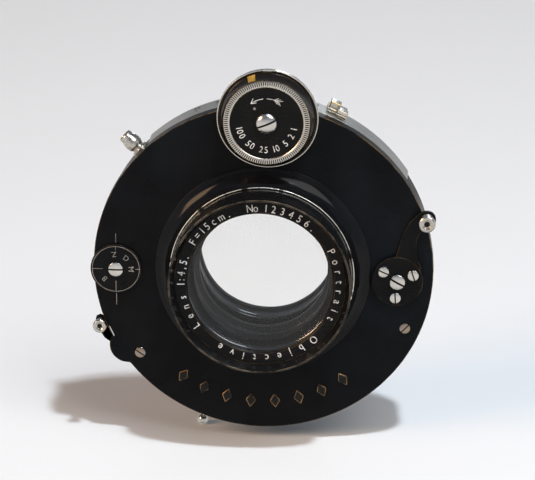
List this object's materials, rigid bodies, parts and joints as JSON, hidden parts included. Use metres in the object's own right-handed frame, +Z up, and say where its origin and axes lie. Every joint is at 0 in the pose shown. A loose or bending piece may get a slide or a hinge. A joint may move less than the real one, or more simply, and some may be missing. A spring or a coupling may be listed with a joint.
{
  "type": "portrait lens in dial-set leaf shutter",
  "caption": "Fast portrait lens in a round black leaf shutter with a speed dial, mode dial, setting and release levers and an iris pointer.",
  "frame": {"origin": "centre of the rear mounting seat, on the optical axis", "axes": "+Y backwards along the optical axis (the way the rear thread points), -Y towards the front glass, +Z up to the speed dial, +X to the viewer's right"},
  "size_m": [0.0853, 0.0344, 0.0969],
  "materials": {
    "black_enamel": "satin gloss baked enamel, brown wear on edges",
    "black_lacquer": "gloss lacquer",
    "glass": "polished",
    "blackened_steel": "matte blued",
    "nickel_plate": "worn satin nickel",
    "bright_steel": "polished",
    "spring_steel": "polished",
    "brass": "machined"
  },
  "bodies": {
    "shutter": {"case_back": "black_enamel", "front_cover": "black_enamel", "cover_boss": "black_enamel", "aperture_scale_band": "nickel_plate", "iris_spacer_ring": "brass", "blade_spacer_ring": "brass", "blade_seat_plate": "brass", "mechanism_plate": "brass", "front_cell_barrel": "black_lacquer", "name_ring": "black_lacquer", "front_crown_lens": "glass", "front_flint_lens": "glass", "middle_lens": "glass", "middle_retaining_ring": "black_lacquer", "rear_cell_barrel": "black_lacquer", "rear_flint_lens": "glass", "rear_crown_lens": "glass", "rear_retaining_ring": "black_lacquer", "cover_screws": "bright_steel", "setting_pivot_screw": "bright_steel", "release_pivot_stud": "spring_steel", "release_spring": "spring_steel", "main_spring": "spring_steel", "speed_dial_collar": "nickel_plate", "cable_release_socket": "nickel_plate"},
    "setting_lever": {"setting_lever": "black_enamel", "setting_lever_pin": "nickel_plate", "setting_lever_screws": "bright_steel", "setting_gear": "brass"},
    "setting_ring": {"setting_ring": "brass"},
    "release_lever": {"release_lever": "black_enamel", "release_lever_pin": "nickel_plate"},
    "speed_dial": {"speed_dial_drum": "black_enamel", "speed_dial_knurl": "nickel_plate", "speed_dial_face": "black_enamel", "speed_dial_screw": "bright_steel", "speed_pinion": "brass"},
    "mode_dial": {"mode_disc": "black_enamel", "mode_screw": "bright_steel"},
    "aperture_ring": {"aperture_ring": "brass", "aperture_pointer": "nickel_plate", "aperture_ball_pin": "nickel_plate", "iris_cam_ring": "brass"},
    "blade_drive_ring": {"blade_drive_ring": "brass"},
    "iris_blade_01": {"iris_blade_01": "blackened_steel"},
    "iris_blade_02": {"iris_blade_02": "blackened_steel"},
    "iris_blade_03": {"iris_blade_03": "blackened_steel"},
    "iris_blade_04": {"iris_blade_04": "blackened_steel"},
    "iris_blade_05": {"iris_blade_05": "blackened_steel"},
    "iris_blade_06": {"iris_blade_06": "blackened_steel"},
    "iris_blade_07": {"iris_blade_07": "blackened_steel"},
    "iris_blade_08": {"iris_blade_08": "blackened_steel"},
    "iris_blade_09": {"iris_blade_09": "blackened_steel"},
    "iris_blade_10": {"iris_blade_10": "blackened_steel"},
    "shutter_blade_1": {"shutter_blade_1": "blackened_steel"},
    "shutter_blade_2": {"shutter_blade_2": "blackened_steel"},
    "shutter_blade_3": {"shutter_blade_3": "blackened_steel"},
    "shutter_blade_4": {"shutter_blade_4": "blackened_steel"},
    "shutter_blade_5": {"shutter_blade_5": "blackened_steel"}
  },
  "joints": [
    {"name": "setting_lever_turn", "type": "hinge", "parent": "shutter", "child": "setting_lever", "pos_m": [0.0332, 0, -0.0019], "axis": [0, -1, 0], "range_deg": [0, 40]},
    {"name": "setting_ring_turn", "type": "hinge", "parent": "shutter", "child": "setting_ring", "pos_m": [0, 0, 0], "axis": [0, -1, 0], "range_deg": [-12.8, 0]},
    {"name": "release_lever_press", "type": "hinge", "parent": "shutter", "child": "release_lever", "pos_m": [-0.033, 0, -0.0203], "axis": [0, -1, 0], "range_deg": [0, 12], "stiffness_Nm_per_rad": 0.03, "springref_deg": -5.73},
    {"name": "speed_dial_turn", "type": "hinge", "parent": "shutter", "child": "speed_dial", "pos_m": [0.0012, 0, 0.0392], "axis": [0, -1, 0], "range_deg": [-150, 150]},
    {"name": "mode_dial_turn", "type": "hinge", "parent": "shutter", "child": "mode_dial", "pos_m": [-0.0364, 0, -0.0004], "axis": [0, -1, 0], "range_deg": [0, 90]},
    {"name": "aperture_ring_turn", "type": "hinge", "parent": "shutter", "child": "aperture_ring", "pos_m": [0, 0, 0], "axis": [0, -1, 0], "range_deg": [0, 48]},
    {"name": "blade_ring_turn", "type": "hinge", "parent": "shutter", "child": "blade_drive_ring", "pos_m": [0, 0, 0], "axis": [0, -1, 0], "range_deg": [-14, 0]},
    {"name": "iris_blade_01_swing", "type": "hinge", "parent": "shutter", "child": "iris_blade_01", "pos_m": [0.029, 0, 0], "axis": [0, -1, 0], "range_deg": [0, 32.7]},
    {"name": "iris_blade_02_swing", "type": "hinge", "parent": "shutter", "child": "iris_blade_02", "pos_m": [0.02346, 0, 0.01705], "axis": [0, -1, 0], "range_deg": [0, 32.7]},
    {"name": "iris_blade_03_swing", "type": "hinge", "parent": "shutter", "child": "iris_blade_03", "pos_m": [0.00896, 0, 0.02758], "axis": [0, -1, 0], "range_deg": [0, 32.7]},
    {"name": "iris_blade_04_swing", "type": "hinge", "parent": "shutter", "child": "iris_blade_04", "pos_m": [-0.00896, 0, 0.02758], "axis": [0, -1, 0], "range_deg": [0, 32.7]},
    {"name": "iris_blade_05_swing", "type": "hinge", "parent": "shutter", "child": "iris_blade_05", "pos_m": [-0.02346, 0, 0.01705], "axis": [0, -1, 0], "range_deg": [0, 32.7]},
    {"name": "iris_blade_06_swing", "type": "hinge", "parent": "shutter", "child": "iris_blade_06", "pos_m": [-0.029, 0, 0], "axis": [0, -1, 0], "range_deg": [0, 32.7]},
    {"name": "iris_blade_07_swing", "type": "hinge", "parent": "shutter", "child": "iris_blade_07", "pos_m": [-0.02346, 0, -0.01705], "axis": [0, -1, 0], "range_deg": [0, 32.7]},
    {"name": "iris_blade_08_swing", "type": "hinge", "parent": "shutter", "child": "iris_blade_08", "pos_m": [-0.00896, 0, -0.02758], "axis": [0, -1, 0], "range_deg": [0, 32.7]},
    {"name": "iris_blade_09_swing", "type": "hinge", "parent": "shutter", "child": "iris_blade_09", "pos_m": [0.00896, 0, -0.02758], "axis": [0, -1, 0], "range_deg": [0, 32.7]},
    {"name": "iris_blade_10_swing", "type": "hinge", "parent": "shutter", "child": "iris_blade_10", "pos_m": [0.02346, 0, -0.01705], "axis": [0, -1, 0], "range_deg": [0, 32.7]},
    {"name": "shutter_blade_1_swing", "type": "hinge", "parent": "shutter", "child": "shutter_blade_1", "pos_m": [0.036, 0, 0], "axis": [0, -1, 0], "range_deg": [0, 30.6]},
    {"name": "shutter_blade_2_swing", "type": "hinge", "parent": "shutter", "child": "shutter_blade_2", "pos_m": [0.01112, 0, 0.03424], "axis": [0, -1, 0], "range_deg": [0, 30.6]},
    {"name": "shutter_blade_3_swing", "type": "hinge", "parent": "shutter", "child": "shutter_blade_3", "pos_m": [-0.02912, 0, 0.02116], "axis": [0, -1, 0], "range_deg": [0, 30.6]},
    {"name": "shutter_blade_4_swing", "type": "hinge", "parent": "shutter", "child": "shutter_blade_4", "pos_m": [-0.02912, 0, -0.02116], "axis": [0, -1, 0], "range_deg": [0, 30.6]},
    {"name": "shutter_blade_5_swing", "type": "hinge", "parent": "shutter", "child": "shutter_blade_5", "pos_m": [0.01112, 0, -0.03424], "axis": [0, -1, 0], "range_deg": [0, 30.6]}
  ],
  "couplings": [
    {"joint": "setting_ring_turn", "follows": "setting_lever_turn", "ratio": -0.31683},
    {"joint": "iris_blade_01_swing", "follows": "aperture_ring_turn", "ratio": 0.67917},
    {"joint": "iris_blade_02_swing", "follows": "aperture_ring_turn", "ratio": 0.67917},
    {"joint": "iris_blade_03_swing", "follows": "aperture_ring_turn", "ratio": 0.67917},
    {"joint": "iris_blade_04_swing", "follows": "aperture_ring_turn", "ratio": 0.67917},
    {"joint": "iris_blade_05_swing", "follows": "aperture_ring_turn", "ratio": 0.67917},
    {"joint": "iris_blade_06_swing", "follows": "aperture_ring_turn", "ratio": 0.67917},
    {"joint": "iris_blade_07_swing", "follows": "aperture_ring_turn", "ratio": 0.67917},
    {"joint": "iris_blade_08_swing", "follows": "aperture_ring_turn", "ratio": 0.67917},
    {"joint": "iris_blade_09_swing", "follows": "aperture_ring_turn", "ratio": 0.67917},
    {"joint": "iris_blade_10_swing", "follows": "aperture_ring_turn", "ratio": 0.67917},
    {"joint": "shutter_blade_1_swing", "follows": "blade_ring_turn", "ratio": -2.1786},
    {"joint": "shutter_blade_2_swing", "follows": "blade_ring_turn", "ratio": -2.1786},
    {"joint": "shutter_blade_3_swing", "follows": "blade_ring_turn", "ratio": -2.1786},
    {"joint": "shutter_blade_4_swing", "follows": "blade_ring_turn", "ratio": -2.1786},
    {"joint": "shutter_blade_5_swing", "follows": "blade_ring_turn", "ratio": -2.1786}
  ]
}
